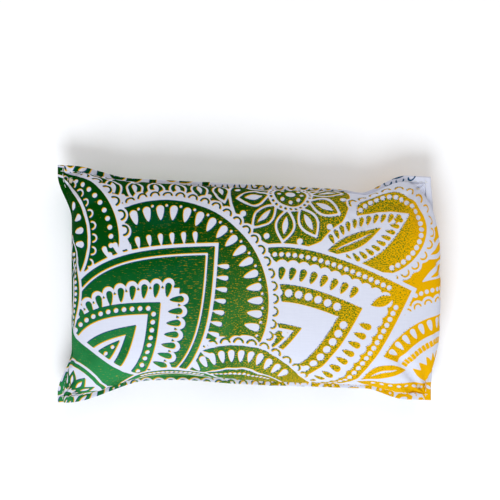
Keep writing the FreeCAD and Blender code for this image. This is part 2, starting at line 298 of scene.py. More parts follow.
def face_shares(cols, rows, rims=()):
    """u, v and their section shares for a grid of the whole cover."""
    u, qu = grid_shares(cols, LONG, CROWN, LONG_POWER, rims)
    v, qv = grid_shares(rows, WIDE, CROWN, WIDE_POWER, rims)
    return u, v, qu, qv


def even_shares(cells, rims=()):
    """Even shares of an arc from seam to seam, with one past the seam for each of the flange's rims."""
    out = np.full(len(rims), PAST_SEAM)
    return np.concatenate([-out, np.linspace(-1, 1, cells + 1), out])


def rim_of(grid):
    """True along a grid's four edges."""
    rim = np.zeros(grid.shape[:2], bool)
    rim[[0, -1]] = rim[:, [0, -1]] = True
    return rim


def inflate(sizes):
    """Blows up a coarse closed copy of the cover, held at its seam, with Blender's Cloth, and returns how far
    the front's and the back's grid points moved, in mm. The cloth is cut a little larger than the form, so
    that it gathers, and no point moves further than sizes.cloth_limit."""
    shares = face_shares(SIM_COLS, SIM_ROWS)
    front, back = front_form(*shares)[0], back_form(*shares)[0]
    rim = rim_of(front)
    back[rim] = front[rim]
    grid = np.arange(front.shape[0] * front.shape[1]).reshape(front.shape[:2])
    under = grid.copy()
    under[~rim] = grid.size + np.arange((~rim).sum())
    quads = [np.stack([g[:-1, :-1], g[:-1, 1:], g[1:, 1:], g[1:, :-1]], -1).reshape(-1, 4)
             for g in (grid, under)]
    faces = np.vstack([quads[0], quads[1][:, ::-1]])
    start = np.vstack([front.reshape(-1, 3), back[~rim]]) * MM
    mesh = bpy.data.meshes.new("blown")
    mesh.from_pydata(start.tolist(), [], faces.tolist())
    mesh.update()
    bag = bpy.data.objects.new("blown", mesh)
    bpy.context.scene.collection.objects.link(bag)
    bag.vertex_groups.new(name="seam").add(grid[rim].tolist(), 1.0, "REPLACE")
    cloth = bag.modifiers.new("cloth", "CLOTH")
    fabric = cloth.settings
    fabric.quality = 6
    fabric.mass = 0.2
    fabric.tension_stiffness = fabric.compression_stiffness = 20
    fabric.shear_stiffness = 12
    fabric.bending_stiffness = 0.4
    fabric.use_pressure = True
    fabric.uniform_pressure_force = sizes.pressure
    fabric.shrink_min = fabric.shrink_max = -sizes.looseness
    fabric.vertex_group_mass = "seam"
    fabric.effector_weights.gravity = 0
    cloth.point_cache.frame_start = 1
    cloth.point_cache.frame_end = SIM_STEPS
    scene = bpy.context.scene
    for step in range(1, SIM_STEPS + 1):
        scene.frame_set(step)
    seen = bag.evaluated_get(bpy.context.evaluated_depsgraph_get()).data
    end = np.empty(len(seen.vertices) * 3, np.float32)
    seen.vertices.foreach_get("co", end)
    moved = (end.reshape(-1, 3) - start) / MM
    scene.frame_set(1)
    bpy.data.objects.remove(bag)
    bpy.data.meshes.remove(mesh)
    size = np.linalg.norm(moved, axis=1, keepdims=True)
    limit = sizes.cloth_limit
    moved = moved * limit * np.tanh(size / limit) / np.maximum(size, 1e-9)
    front_move = moved[:grid.size].reshape(front.shape)
    back_move = np.zeros(front.shape)
    back_move[~rim] = moved[grid.size:]
    return front_move, back_move


def spread(moves, shares_u, shares_v):
    """A coarse grid of moves read at finer places by a Catmull-Rom patch: shares run from -1 to 1, and the
    move is 0 outside."""
    rows, cols = moves.shape[:2]

    def taken(table, shares, count, axis):
        at = np.clip((shares + 1) / 2, 0, 1) * (count - 1)
        k = np.clip(at.astype(int), 0, count - 2)
        t = at - k
        w = [(-t + 2 * t ** 2 - t ** 3) / 2, (2 - 5 * t ** 2 + 3 * t ** 3) / 2,
             (t + 4 * t ** 2 - 3 * t ** 3) / 2, (t ** 3 - t ** 2) / 2]
        shape = [1, 1, 1]
        shape[axis] = -1
        return sum(np.take(table, np.clip(k + i - 1, 0, count - 1), axis=axis) * w[i].reshape(shape)
                   for i in range(4))

    fine = taken(taken(moves, shares_u, cols, 1), shares_v, rows, 0)
    held = (np.abs(shares_u) < 1)[None, :, None] & (np.abs(shares_v) < 1)[:, None, None]
    return np.where(held, fine, 0.0)


def swelling(sizes):
    if "moves" not in kept:
        kept["moves"] = inflate(sizes)
    return kept["moves"]


# ------------------------------------------------------------------ the print

# The screen's pitch and half sizes, and a depth that stands for far outside any shape.
INK_PITCH = 0.35
HALF_X, HALF_Y = 134.0, 88.0
FAR = 50.0
# How far the yellow screen lies from the blue one, and the deepest depth worth storing.
SLIP = (0.42, -0.42)
DEEPEST = 4


def arc(centre, r, start, end, count=40):
    """Points on a circle from one angle to another, in degrees."""
    a = np.radians(np.linspace(start, end, count))
    return np.column_stack([centre[0] + r * np.cos(a), centre[1] + r * np.sin(a)])


def spot(centre, r, angle):
    """The point of a circle at an angle."""
    return arc(centre, r, angle, angle, 1)[0]


def oval(centre, long_half, short_half, tilt, start, end, count=80):
    """Points on an oval whose long half axis is turned tilt degrees, between two angles from that axis."""
    a, t = np.radians(np.linspace(start, end, count)), np.radians(tilt)
    x, y = long_half * np.cos(a), short_half * np.sin(a)
    return np.column_stack([x * np.cos(t) - y * np.sin(t), x * np.sin(t) + y * np.cos(t)]) + centre


def curve(*points):
    """A Catmull-Rom spline through a few points, ten steps to a span."""
    p = np.asarray(points, float)
    ends = np.vstack([2 * p[0] - p[1], p, 2 * p[-1] - p[-2]])
    t = np.linspace(0, 1, 10, endpoint=False)[:, None]
    spans = [0.5 * (2 * b + (c - a) * t + (2 * a - 5 * b + 4 * c - d) * t ** 2
                    + (3 * b - a - 3 * c + d) * t ** 3)
             for a, b, c, d in zip(ends[:-3], ends[1:-2], ends[2:-1], ends[3:])]
    return np.vstack(spans + [p[-1:]])


def petal_edge(tip, foot, half, side=1, inset=0.0, share=(0.0, 1.0), lean=0.0):
    """One edge of a pointed petal. At share t of the way from tip to foot it stands half * sin(pi * t) off
    the axis, and the axis itself bows by lean * sin(pi * t). inset moves it inwards along its normal, with a
    mitre at the tip."""
    tip, foot = np.asarray(tip, float), np.asarray(foot, float)
    t = np.linspace(share[0], share[1], 60)
    axis = foot - tip
    length = np.hypot(*axis)
    e = axis / length
    n = np.array([-e[1], e[0]])
    steep = max(half, 0.01) * np.pi / length
    slope = steep * np.cos(np.pi * t)
    norm = np.hypot(1, slope)
    along = t * length + inset * slope / norm
    off = half * np.sin(np.pi * t) - inset / norm
    mitre = inset * np.hypot(1, steep) / steep
    keep = (along > mitre) & (off > 0.05)
    along, off, bow = along[keep], off[keep], lean * np.sin(np.pi * t[keep])
    if share[0] == 0 and half > 0:
        along, off, bow = np.append(mitre, along), np.append(0, off), np.append(0, bow)
    return tip + along[:, None] * e + (side * off + bow)[:, None] * n


def petal(tip, foot, half, inset=0.0, lean=0.0):
    """A pointed petal's closed outline: one edge out and the other back."""
    out, back = (petal_edge(tip, foot, half, side, inset, lean=lean) for side in (1, -1))
    return np.vstack([out, back[::-1]])


def turn(v, degrees):
    """Vectors turned anticlockwise."""
    a = np.radians(degrees)
    x, y = v[:, 0], v[:, 1]
    return np.column_stack([x * np.cos(a) - y * np.sin(a), x * np.sin(a) + y * np.cos(a)])


def stations(line, count):
    """count places evenly along a line, with the heading and the left-hand side at each."""
    run = np.concatenate([[0], np.cumsum(np.hypot(*np.diff(line, axis=0).T))])
    at = np.linspace(0, run[-1], count)

    def read(where):
        return np.column_stack([np.interp(np.clip(where, 0, run[-1]), run, line[:, i]) for i in (0, 1)])

    head = read(at + 0.4) - read(at - 0.4)
    head /= np.hypot(*head.T)[:, None]
    return read(at), head, turn(head, 90)


class Screen:
    """The print as one field over the flat cloth: how deep a place lies inside the ink, in mm, and below 0
    outside it. A shape is laid over what is there, either inked (the greater depth stays) or left bare (the
    lesser stays)."""

    def __init__(self):
        self.x = np.arange(-HALF_X, HALF_X + INK_PITCH / 2, INK_PITCH)
        self.y = np.arange(-HALF_Y, HALF_Y + INK_PITCH / 2, INK_PITCH)
        self.ink = np.full((len(self.y), len(self.x)), -FAR)

    def window(self, points, margin):
        """The part of the field round some points, with its x as a row and its y as a column."""
        low, high = np.min(points, axis=0) - margin, np.max(points, axis=0) + margin
        cols = slice(max(0, np.searchsorted(self.x, low[0])), np.searchsorted(self.x, high[0]))
        rows = slice(max(0, np.searchsorted(self.y, low[1])), np.searchsorted(self.y, high[1]))
        return (rows, cols), self.x[cols][None, :], self.y[rows][:, None]

    def lay(self, where, depth, inked):
        part = self.ink[where]
        if inked:
            np.maximum(part, depth, out=part)
        else:
            np.minimum(part, -depth, out=part)

    def disc(self, at, r, inked=False):
        """Depth r less the distance from the middle."""
        where, x, y = self.window(np.array([at]), r + 1.5)
        self.lay(where, r - np.hypot(x - at[0], y - at[1]), inked)

    def region(self, outline, inked=True):
        """Depth is the distance to the nearest edge, on the side that the even-odd rule gives."""
        where, x, y = self.window(outline, 2.0)
        near = np.full((y.shape[0], x.shape[1]), FAR)
        inside = np.zeros(near.shape, bool)
        for a, b in zip(outline, np.roll(outline, -1, axis=0)):
            d = b - a
            if d @ d < 1e-9:
                continue
            t = np.clip(((x - a[0]) * d[0] + (y - a[1]) * d[1]) / (d @ d), 0, 1)
            np.minimum(near, np.hypot(x - a[0] - t * d[0], y - a[1] - t * d[1]), out=near)
            if a[1] != b[1]:
                inside ^= ((y < a[1]) != (y < b[1])) & (x < a[0] + (y - a[1]) / (b[1] - a[1]) * d[0])
        self.lay(where, np.where(inside, near, -near), inked)

    def area(self, *points, inked=True):
        """A region with straight sides."""
        self.region(np.array(points, float), inked)

    def round(self, centre, r, inked=True, count=40):
        """A round region."""
        self.region(arc(centre, r, 0, 360, count), inked)

    def stroke(self, line, width, inked=False, taper=False):
        """Depth is half the width, thinned to nothing at both ends with taper, less the distance to the
        line."""
        where, x, y = self.window(line, width / 2 + 1.5)
        depth = np.full((y.shape[0], x.shape[1]), -FAR)
        for i, (a, b) in enumerate(zip(line[:-1], line[1:])):
            d = b - a
            t = np.clip(((x - a[0]) * d[0] + (y - a[1]) * d[1]) / max(d @ d, 1e-9), 0, 1)
            half = width / 2
            if taper:
                half = half * np.sin(np.pi * np.clip((i + t) / (len(line) - 1), 0, 1)) ** 0.7
            np.maximum(depth, half - np.hypot(x - a[0] - t * d[0], y - a[1] - t * d[1]), out=depth)
        self.lay(where, depth, inked)

    def drop(self, head, tip, r, inked=False):
        """A round head of radius r that narrows to its tip as (1 - t) ** 0.75 * (1 + 0.55 * t)."""
        where, x, y = self.window(np.array([head, tip]), r + 1.5)
        d = np.asarray(tip, float) - head
        length = np.hypot(*d)
        d = d / length
        along = (x - head[0]) * d[0] + (y - head[1]) * d[1]
        off = np.abs((x - head[0]) * d[1] - (y - head[1]) * d[0])
        t = np.clip(along / length, 0, 1)
        side = r * (1 - t) ** 0.75 * (1 + 0.55 * t) - np.hypot(off, np.maximum(along - length, 0))
        self.lay(where, np.where(along < 0, r - np.hypot(along, off), side * 0.9), inked)

    def discs(self, line, count, r, inked=False):
        """Discs evenly along a line."""
        for place in stations(line, count)[0]:
            self.disc(place, r, inked)

    def drops(self, line, count, length, r, lean, inked=False):
        """Drops with their heads on a line and their tips turned lean degrees from its heading."""
        places, head, _ = stations(line, count)
        for p, d in zip(places, turn(head, lean)):
            self.drop(p, p + d * length, r, inked)

    def hoops(self, line, count, r, width, side=1, opening=180, inked=True):
        """Small open arcs along a line, rounded to its left, or to its right with side -1."""
        a = np.radians(np.linspace(-opening / 2, opening / 2, 9))[:, None]
        for p, head, left in zip(*stations(line, count)):
            self.stroke(p + r * (np.cos(a) * left * side + np.sin(a) * head), width, inked)

    def dashes(self, line, count, length, width):
        """Small inked bars straight across a line."""
        for p, head, left in zip(*stations(line, count)):
            w, d = head * width / 2, left * length / 2
            self.area(p - d - w, p - d + w, p + d + w, p + d - w)

    def beads(self, shape, inset, share, count, r, inked=False):
        """Discs along both edges of a petal."""
        for side in (1, -1):
            self.discs(petal_edge(*shape, side, inset, share), count, r, inked)

    def fringe(self, shape, inset, share, count, length, r, lean, inked=False):
        """Drops along both edges of a petal, from its tip on. On the first edge inwards is to the right, so
        each leans the other way on the second."""
        for side in (1, -1):
            self.drops(petal_edge(*shape, side, inset, share), count, length, r, lean * side, inked)


def print_top_leaves(s):
    """A row of upright leaves on an inked ground, between the arch's scallops and the upper seam."""
    s.area((-100, 73), (10, 73), (10, 30), (-100, 30))
    for x in np.arange(-94, 6, 12.5):
        leaf = (x, 70), (x + 5, 47), 5.2
        s.region(petal(*leaf), False)
        s.region(petal(*leaf, inset=1.4))
        s.region(petal((x + 1.2, 64.5), (x + 3.6, 53.5), 1.5), False)
        s.disc((x + 8.4, 52.5), 1.5)


def print_flower(s):
    """A round flower by the upper seam: a dotted ring round its eye and ten petals in a round field."""
    mid = (24, 56)
    s.round(mid, 36.5, False)
    s.round(mid, 34.8)
    for a in range(9, 360, 36):
        leaf = spot(mid, 32.5, a), spot(mid, 11, a), 6.0
        s.region(petal(*leaf), False)
        s.region(petal(*leaf, inset=1.5))
        s.region(petal(spot(mid, 27.5, a), spot(mid, 16, a), 1.7), False)
        s.disc(spot(mid, 31, a + 18), 1.8)
    s.round(mid, 13.4, False)
    s.discs(arc(mid, 11.6, 0, 345), 24, 0.8, True)
    s.round(mid, 9.4)
    s.discs(arc(mid, 6.6, 0, 315), 8, 1.3)
    s.disc(mid, 3.0)


def print_upper_right(s):
    """A round-backed leaf at the upper right with dots and a nested bare petal, and a golden field behind
    it."""
    slope = curve((74, -2), (88, 3), (98, 11), (104, 21), (108, 33))
    s.region(np.vstack([slope, [(134, 40), (134, -4), (100, -4)]]))
    for y in (2, 15):
        s.region(petal((99, y), (128, y + 14), 5.0), False)
        s.region(petal((104, y + 2.4), (124, y + 12), 2.2))
    back, foot = (78, 30.5), (60, 9)
    line = oval(back, 27.0, 22.5, 42, 92, -118)
    outside = back + (line - back) * 1.12
    s.region(np.vstack([outside, [foot]]), False)
    s.discs(outside, 15, 4.2)
    s.hoops(outside[::-1], 15, 2.3, 1.1, -1)
    s.region(np.vstack([line, [foot]]))
    s.discs(back + (line - back) * 0.87, 22, 1.5)
    leaf = (93, 41.5), (32, 12.5), 13.5
    s.region(petal(*leaf), False)
    s.fringe(leaf, 2.6, (0.08, 0.72), 11, 4.6, 1.35, -66, True)
    s.region(petal((76, 33.5), (42, 17.3), 4.4))
    s.stroke(np.array([(71, 31.2), (48, 20.2)]), 1.3, False, True)


def print_fan(s):
    """A fan of rings round the right end's lower corner, and a leaf and a low field at its foot."""
    mid = (117.5, -62.5)
    s.region(np.vstack([arc(mid, 67, 66, 142), arc(mid, 55, 142, 66)]))
    s.discs(arc(mid, 61, 78, 128), 16, 1.3)
    s.region(np.vstack([arc(mid, 55, 60, 160), arc(mid, 12, 160, 60)]), False)
    s.discs(arc(mid, 54.6, 84, 134, 60), 8, 3.7)
    s.hoops(arc(mid, 54.2, 134, 84, 60), 8, 2.1, 1.1)
    s.region(np.vstack([arc(mid, 46, 72, 152), arc(mid, 36, 152, 72)]))
    s.drops(arc(mid, 43.4, 146, 78), 10, 5.2, 1.6, -90)
    s.dashes(arc(mid, 31, 84, 150), 15, 3.8, 1.9)
    for a in range(88, 152, 12):
        s.region(petal(spot(mid, 26, a), spot(mid, 10, a), 2.4))
    s.region(petal((64, -57), (92, -50.5), 4.2, lean=3))
    s.stroke(curve((70, -54.2), (77, -51), (86, -50)), 1.3, False, True)
    s.area((62, -59), (126, -57), (126, -76), (76, -76))
    s.discs(np.array([(72, -61.5), (122, -60)]), 11, 1.3)


def print_right_petal(s):
    """The pointed petal right of the middle: a dotted band, a scalloped ground, drops, a second band, a
    heart."""
    shape = (91, -3.5), (-60, -56), 50.0
    s.region(petal(*shape, inset=-3.8), False)
    s.region(petal(*shape, inset=-1.5))
    s.beads(shape, 2.6, (0.05, 0.60), 27, 1.45)
    s.beads(shape, 9.0, (0.03, 0.56), 15, 3.6)
    s.region(petal(*shape, inset=8.0), False)
    s.region(petal((83, -6.3), (69, -11.2), 3.0))
    s.fringe(shape, 11.6, (0.13, 0.52), 11, 5.6, 1.9, -80, True)
    s.region(petal(*shape, inset=19.6))
    s.beads(shape, 24.4, (0.16, 0.52), 9, 2.3)
    s.region(petal(*shape, inset=29.5), False)
    for inset, inked in ((0, True), (2.6, False), (4.4, True)):
        s.region(petal((30, -24), (-20, -42), 11.0, inset=inset), inked)
    s.discs(np.array([(20, -27.6), (2, -34)]), 4, 1.6)


def print_arch(s):
    """The great round arch: scallops over it, and inside it a ring of drops that point to its middle."""
    mid, r = (-48, -9.5), 59.0
    s.discs(arc(mid, r + 3.2, 118, -27), 22, 4.2)
    s.round(mid, r + 1.9, False, 90)
    s.round(mid, r, True, 90)
    s.hoops(arc(mid, r + 3.1, 116, -25), 22, 2.4, 1.05, opening=175)
    s.drops(arc(mid, r - 5.4, 110, -24), 17, 6.8, 2.3, -90)
    s.discs(arc(mid, r - 3.4, 106.2, -20.2), 16, 0.9)


def print_left_bands(s):
    """Rings round the left end: scallops with hoops, a band with a row of dots, a bare line with hoops on
    it."""
    mid, flat = (-119.5, 25), (-134, 26)
    s.region(np.vstack([arc(mid, 47.5, 70, -24), [mid]]), False)
    s.discs(arc(mid, 47.5, 64, -16), 8, 5.0)
    s.hoops(arc(mid, 48.0, 62, -14), 8, 2.7, 1.2, opening=185)
    s.region(np.vstack([arc(mid, 45, 100, -40), [(-128, -12), (-134, 30), (-130, 80)]]))
    s.discs(arc(mid, 40.4, 64, -18), 12, 1.5)
    s.stroke(arc(flat, 41.8, 80, -45), 1.9)
    s.hoops(arc(flat, 44.2, 58, -27), 10, 2.2, 1.1, inked=False)
    s.drops(arc(flat, 36.6, 34, -4), 4, 5.4, 2.0, -90)


def print_hill(s):
    """A low round hill at the foot of the middle, with scallops, a ring of drops and a row of dots."""
    mid, r = (-9, -80), 45.5
    s.discs(arc(mid, r + 1.2, 118, 28), 10, 4.7)
    s.round(mid, r + 1.4, False)
    s.hoops(arc(mid, r + 1.6, 114, 32), 10, 2.6, 1.15, opening=165)
    s.round(mid, r)
    s.drops(arc(mid, r - 4.6, 124, 44), 11, 6.0, 2.0, -90)
    s.stroke(arc(mid, r - 14.6, 150, 20), 1.3)
    s.discs(arc(mid, r - 18.2, 134, 44), 17, 1.1)


def print_left_petal(s):
    """The large pointed petal on the left: a double outline in a fringe, a ring of drops, a dotted leaf, and
    small petals nested in it."""
    shape = (-19.5, 22.5), (-118, -73), 40.0
    s.fringe(shape, -7.4, (0.06, 0.36), 9, 5.4, 1.5, -92)
    s.region(petal(*shape, inset=-2.1), False)
    s.region(petal(*shape))
    for side in (1, -1):
        s.stroke(petal_edge(*shape, side, 4.3), 1.3)
    heart = (-35.5, 2.5), (-118, -74), 31.5
    s.beads(heart, 1.2, (0.07, 0.70), 12, 3.4)
    s.region(petal(*heart, inset=3.6), False)
    s.fringe(heart, 2.4, (0.07, 0.70), 12, 6.6, 1.8, -78, True)
    leaf = (-50.5, -9.5), (-116, -70), 25.5
    s.region(petal(*leaf))
    s.beads(leaf, 3.4, (0.06, 0.84), 17, 1.45)
    s.region(petal(*leaf, inset=6.6), False)
    s.region(petal((-64.5, -22.5), (-108, -62.5), 12.0))
    s.region(petal((-70.5, -28), (-103, -58), 7.4), False)
    s.region(petal((-74, -31.2), (-99, -54.4), 4.2))
    s.discs(np.array([(-78.5, -35.4), (-94.5, -50.2)]), 5, 1.2)


def print_left_leaf(s):
    """An upright leaf at the left end with a row of dots and a smaller leaf in it."""
    leaf = (-107.5, 30), (-106.5, -36), 10.5
    s.region(petal(*leaf), False)
    s.region(petal(*leaf, inset=1.7))
    s.beads(leaf, 4.2, (0.16, 0.86), 14, 1.2)
    s.region(petal((-108, 16), (-107.5, -23), 5.4), False)
    s.region(petal((-108, 12), (-107.5, -19), 3.2))


def print_lower_left(s):
    """A slanting band across the lower left corner, over a quarter of a daisy in a dotted ring."""
    s.area((-134, -4), (-112, -19.5), (-64, -55), (-40, -88), (-134, -88), inked=False)
    s.area((-134, -7.5), (-112, -22.5), (-66, -56.5), (-44, -88), (-134, -88))
    mid = (-109, -69)
    s.stroke(arc(mid, 25.5, 130, -20), 1.5)
    s.round(mid, 22.5, False)
    for a in range(-24, 150, 24):
        s.region(petal(spot(mid, 20.5, a), spot(mid, 6, a), 3.4))
        s.region(petal(spot(mid, 17.5, a), spot(mid, 10, a), 1.2), False)
    s.disc(mid, 4.0, True)


def print_foot(s):
    """A flat arch at the foot of the left half, with a row of dots."""
    mid = (-45, -84)
    s.round(mid, 35.6, False)
    s.round(mid, 33.8)
    s.discs(arc(mid, 31.2, 124, 56), 15, 1.2)
    s.stroke(arc(mid, 28.4, 160, 20), 1.3)


def print_border(s):
    """Loose leaves, bars and domes beyond the face, for the sides and the flange, behind a row of
    scallops."""
    for side in (-1, 1):
        inner, y = 73.5 * side, 78.5 * side
        s.discs(np.array([(-132, inner), (132, inner)]), 38, 4.4)
        s.area((-134, inner), (134, inner), (134, 95 * side), (-134, 95 * side), inked=False)
        s.hoops(np.array([(-132, 73 * side), (132, 73 * side)]), 38, 2.2, 1.0, -side)
        for k, x in enumerate(np.arange(-130, 134, 10.5)):
            if k % 3 == 0:
                s.region(petal((x - 6, y - 4), (x + 6, y + 4), 3.6))
                s.region(petal((x - 3, y - 2), (x + 3, y + 2), 1.2), False)
            elif k % 3 == 1:
                s.area((x - 3, y - 6), (x + 1, y - 6), (x + 3, y + 6), (x - 1, y + 6))
            else:
                s.round((x, y + 2), 5.4)
                s.discs(arc((x, y + 2), 3, 0, 300), 5, 0.8)
    for x in (-127, 127):
        for k, y in enumerate(np.arange(-58, 60, 11.5)):
            s.disc((x, y), 5.4, True)
            s.disc((x + (3 if k % 2 else -3), y), 3.4)


def cover_print():
    """The whole print: traditional petals, arches, scallops, drops and dots, laid one over another. All its
    places are millimetres on the flat cloth, from the middle of the face."""
    s = Screen()
    for part in (print_top_leaves, print_flower, print_upper_right, print_fan, print_right_petal, print_arch,
                 print_left_bands, print_hill, print_left_petal, print_left_leaf, print_lower_left, print_foot,
                 print_border):
        part(s)
    return s


def read_print(s, cloth):
    """The screen's depth at cloth places in mm, by straight interpolation between its four nearest points."""
    at_x = np.clip((cloth[..., 0] + HALF_X) / INK_PITCH, 0, len(s.x) - 1.001)
    at_y = np.clip((cloth[..., 1] + HALF_Y) / INK_PITCH, 0, len(s.y) - 1.001)
    i, j = at_x.astype(int), at_y.astype(int)
    a, b = at_x - i, at_y - j
    near = (1 - a) * s.ink[j, i] + a * s.ink[j, i + 1]
    far = (1 - a) * s.ink[j + 1, i] + a * s.ink[j + 1, i + 1]
    return (1 - b) * near + b * far


def print_on(piece, cloth):
    """Stores the cloth's flat place and the depths in the two inks at each vertex. The yellow screen lies a
    little to the lower right of the blue one, as hand-set screens do."""
    if "screen" not in kept:
        kept["screen"] = cover_print()
    cloth = cloth.reshape(-1, 2)
    for name, place in (("blue_ink", cloth), ("yellow_ink", cloth - SLIP)):
        keep_values(piece, name, np.clip(read_print(kept["screen"], place), -DEEPEST, DEEPEST))
    keep_values(piece, "cloth", np.column_stack([cloth, 0 * cloth[:, 0]]) * MM, "FLOAT_VECTOR")


# ------------------------------------------------------------------ materials

class Socket:
    """A shader socket that Python's operators turn into Math nodes."""

    def __init__(self, book, socket):
        self.book, self.socket = book, socket

    def maths(self, operation, *others):
        values = {i: value for i, value in enumerate((self,) + others)}
        return self.book.node("ShaderNodeMath", {"operation": operation}, values)

    def __add__(self, other):
        return self.maths("ADD", other)

    def __mul__(self, other):
        return self.maths("MULTIPLY", other)

    def __sub__(self, other):
        return self.maths("SUBTRACT", other)

    def __rsub__(self, other):
        return self * -1.0 + other

    __radd__ = __add__
    __rmul__ = __mul__

    def between(self, low, high):
        """0 below low, 1 above high, smooth between them."""
        return self.book.node("ShaderNodeMapRange", {"interpolation_type": "SMOOTHSTEP"},
                              {"Value": self, "From Min": low, "From Max": high})


class Finish:
    """A material in the making, with one method for every kind of node."""

    def __init__(self, name, **constants):
        self.material = bpy.data.materials.new(name)
        self.material.use_nodes = True
        self.tree = self.material.node_tree
        self.shader = self.tree.nodes["Principled BSDF"]
        for socket, value in constants.items():
            self.shader.inputs[socket.replace("_", " ")].default_value = value

    def node(self, kind, settings=None, sockets=None, out=0):
        made = self.tree.nodes.new(kind)
        for name, value in (settings or {}).items():
            setattr(made, name, value)
        for key, value in (sockets or {}).items():
            if isinstance(value, Socket):
                self.tree.links.new(value.socket, made.inputs[key])
            else:
                made.inputs[key].default_value = value
        return Socket(self, made.outputs[out])

    def mix(self, factor, first, second):
        """A colour between two colours."""
        return self.node("ShaderNodeMix", {"data_type": "RGBA"}, {0: factor, 6: first, 7: second}, 2)

    def stretched(self, place, by):
        """A place multiplied by a vector."""
        return self.node("ShaderNodeVectorMath", {"operation": "MULTIPLY"}, {0: place, 1: by})

    def noise(self, place, scale, detail=2.0, stretch=None):
        """Noise from 0 to 1 with features of about 1 / scale metres, drawn out by stretch."""
        if stretch is not None:
            place = self.stretched(place, stretch)
        return self.node("ShaderNodeTexNoise", None, {"Vector": place, "Scale": scale, "Detail": detail})

    def attribute(self, name, out):
        """A named attribute: output 1 is a vector and 2 a number."""
        return self.node("ShaderNodeAttribute", {"attribute_name": name}, out=out)

    def object_place(self):
        """The place on the object, in metres."""
        return self.node("ShaderNodeTexCoord", out=3)

    def x_and_y(self, place):
        return [self.node("ShaderNodeSeparateXYZ", None, {0: place}, out=i) for i in (0, 1)]

    def feed(self, **links):
        for socket, value in links.items():
            self.tree.links.new(value.socket, self.shader.inputs[socket.replace("_", " ")])

    def bump(self, height, distance, strength=1.0):
        self.feed(Normal=self.node("ShaderNodeBump", None,
                                   {"Height": height, "Distance": distance, "Strength": strength}))


def colour(value):
    return tuple(value) + (1.0,)


def weave_height(finish, place, pitch):
    """Plain weave: the two threads' sine waves multiplied, plus threads of uneven thickness."""
    waves = [(axis * (2 * np.pi / pitch)).maths("SINE") for axis in finish.x_and_y(place)]
    weft, warp = (finish.noise(place, 900.0, 2.0, stretch) for stretch in ((0.12, 1.6, 1.0), (1.6, 0.12, 1.0)))
    thick = weft + warp * 0.6
    return waves[0] * waves[1] * 0.35 + thick, thick


def printed_cotton(colours):
    """Screen-printed plain cotton. The blue screen fades out from the green end to the golden one through
    ever more gaps, first along the weft and then as grain, and returns alone at the far upper corner."""
    f = Finish("printed_cotton", Specular_IOR_Level=0.02)
    cloth = f.attribute("cloth", 1)
    blue, yellow = f.attribute("blue_ink", 2), f.attribute("yellow_ink", 2)
    x, y = f.x_and_y(cloth)
    height, thick = weave_height(f, cloth, COVER_WEAVE)
    rough_edge = (f.noise(cloth, 1800.0, 1.0) - 0.5) * 0.18
    blue_on, yellow_on = ((ink + rough_edge).between(-0.13, 0.13) for ink in (blue, yellow))
    # how much of the blue is missing: flecks along the weft at the left, ever more and finer ones to the
    # right, where in the end none of it is left
    weft = f.noise(cloth, 820.0, 2.0, (0.42, 2.1, 1.0)) - 0.5
    grain = f.noise(cloth, 1500.0, 1.0, (0.75, 1.25, 1.0)) - 0.5
    run = x - y * 0.4 + (f.noise(cloth, 18.0, 2.0) - 0.5) * 0.03
    level = (run.between(-0.13, -0.02) * 0.15 + run.between(-0.01, 0.06) * 0.17
             + run.between(0.045, 0.13) * 0.30 + 0.13)
    fine = 0.45 + run.between(-0.04, 0.04)
    gone = (level + weft * (1.6 - fine * 0.7) + grain * fine).between(0.36, 0.60)
    gone = gone * (0.36 + run.between(-0.06, 0.05) * 0.60)
    gone = f.node("ShaderNodeClamp", None, {0: gone + x.between(0.088, 0.108)})
    far_corner = (x * 0.35 + y).between(0.097, 0.101)
    gone = gone * (1.0 - far_corner)
    # the green is painted darker along the upper side, as painted shade, and paler along the lower side, as a
    # painted sheen of the key light
    patchy = f.noise(cloth, 45.0, 3.0)
    deep = f.mix(y.between(-0.01, 0.045), colour(colours.green), colour(colours.painted_shade_green))
    deep = f.mix(patchy.between(0.52, 0.66) * 0.3, deep, colour(colours.teal))
    # painted sheen: the green turns patchily paler towards the lower side, which faces the key light
    painted_sheen_share = y.between(0.02, -0.055) * (0.35 + patchy.between(0.3, 0.6) * 0.65)
    deep = f.mix(painted_sheen_share, deep, colour(colours.painted_sheen_green))
    deep = f.mix(run.between(-0.05, 0.07), deep, colour(colours.olive))
    gold = f.mix(f.noise(cloth, 60.0, 2.0), colour(colours.gold), colour(colours.gold_deep))
    bare_tone = f.mix(thick.between(0.4, 1.2), colour(colours.ground), colour(colours.ground_thread))
    both_inks = yellow_on * (1.0 - far_corner)
    under = f.mix(both_inks, bare_tone, gold)
    over = f.mix(both_inks, colour(colours.blue), deep)
    base = f.mix(blue_on * (1.0 - gone), under, over)
    f.feed(Base_Color=base, Roughness=0.72 + (thick - 0.8) * 0.10 - blue_on * 0.10)
    f.bump(height, 0.00012, 0.6)
    return f.material


def plain_cloth(name, tone, dark, pitch):
    """Unprinted cotton: two close tones along its threads, over a plain weave."""
    f = Finish(name, Specular_IOR_Level=0.2, Sheen_Weight=0.1)
    place = f.object_place()
    height, thick = weave_height(f, place, pitch)
    flecks = f.noise(place, 900.0, 1.0).between(0.70, 0.78)
    threads = f.mix(thick.between(0.4, 1.2), colour(tone), colour(dark))
    f.feed(Base_Color=f.mix(flecks * 0.5, threads, colour(dark)), Roughness=0.82 + (thick - 0.8) * 0.1)
    f.bump(height, 0.00015, 0.7)
    return f.material


def sewing_thread(name, tone, dark):
    """Twisted thread: fine slanting ridges, painted shade in stripes between the strands, and a slight gloss.
    """
    f = Finish(name, Specular_IOR_Level=0.4, Sheen_Weight=0.15)
    x, y = f.x_and_y(f.object_place())
    ridges = ((x + y) * 9000.0).maths("SINE") * 0.5 + 0.5
    # the darker tone along each slanting stripe is painted shade between the thread's strands
    f.feed(Base_Color=f.mix(ridges * 0.6, colour(tone), colour(dark)), Roughness=0.55 + ridges * 0.15)
    f.bump(ridges, 0.00005, 0.6)
    return f.material


